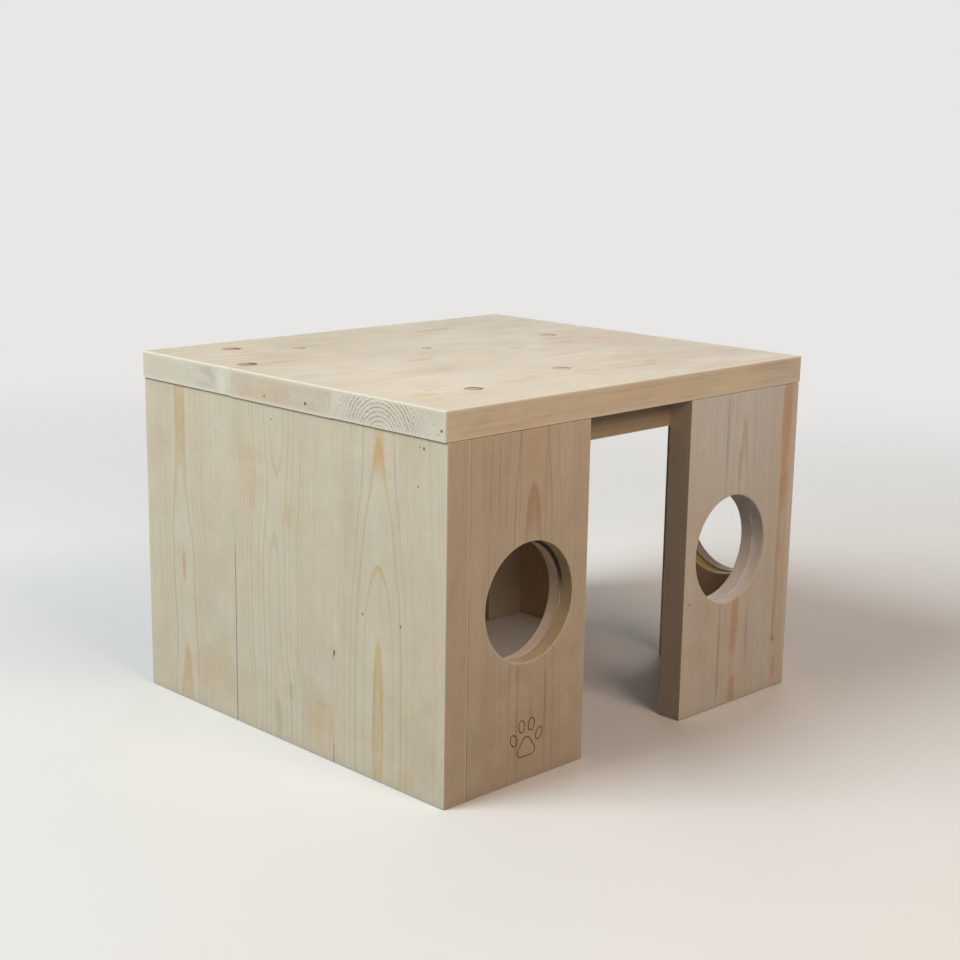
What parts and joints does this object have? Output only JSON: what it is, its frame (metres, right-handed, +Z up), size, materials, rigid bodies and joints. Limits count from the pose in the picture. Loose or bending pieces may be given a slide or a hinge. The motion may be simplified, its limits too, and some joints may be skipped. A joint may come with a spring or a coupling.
{
  "type": "wooden small animal house",
  "caption": "Small animal hide house of planed softwood boards, with doorways in the front and one side, round windows, no floor and a flat lift-off roof.",
  "frame": {"origin": "on the ground, midway between the side walls and midway from front to back", "axes": "+Z up, front doorway towards -Y, side doorway towards +X, closed wall towards -X"},
  "size_m": [0.339, 0.3, 0.2373],
  "materials": {
    "wall_wood": "planed and sanded, raw",
    "roof_wood": "planed and sanded, raw",
    "rail_wood": "planed, raw",
    "dowel_wood": "turned, raw",
    "screw_steel": "zinc plated"
  },
  "bodies": {
    "house": {"left_wall_board_front": "wall_wood", "left_wall_board_middle": "wall_wood", "left_wall_board_back": "wall_wood", "back_wall_board_left": "wall_wood", "back_wall_board_middle": "wall_wood", "back_wall_board_right": "wall_wood", "right_wall_board_front": "wall_wood", "right_wall_board_back": "wall_wood", "front_board_left": "wall_wood", "front_board_right": "wall_wood", "front_rail": "rail_wood", "back_rail": "rail_wood", "left_rail": "rail_wood", "right_rail": "rail_wood", "rear_left_post": "rail_wood", "rear_right_post": "rail_wood", "front_corner_dowels": "dowel_wood", "back_corner_dowels": "dowel_wood", "left_wall_seam_dowels": "dowel_wood", "back_wall_seam_dowels": "dowel_wood", "front_rail_screws": "screw_steel", "back_rail_screws": "screw_steel", "left_rail_screws": "screw_steel", "right_rail_screws": "screw_steel", "rear_left_post_screws": "screw_steel", "rear_right_post_screws": "screw_steel"},
    "roof": {"roof_board_front": "roof_wood", "roof_board_middle": "roof_wood", "roof_board_back": "roof_wood", "roof_batten_left": "rail_wood", "roof_batten_right": "rail_wood", "roof_seam_dowels": "dowel_wood", "left_batten_screws": "screw_steel", "right_batten_screws": "screw_steel"}
  },
  "joints": [
    {"name": "roof_lift", "type": "slide", "parent": "house", "child": "roof", "axis": [0, 0, 1], "range_m": [0, 0.12]}
  ]
}
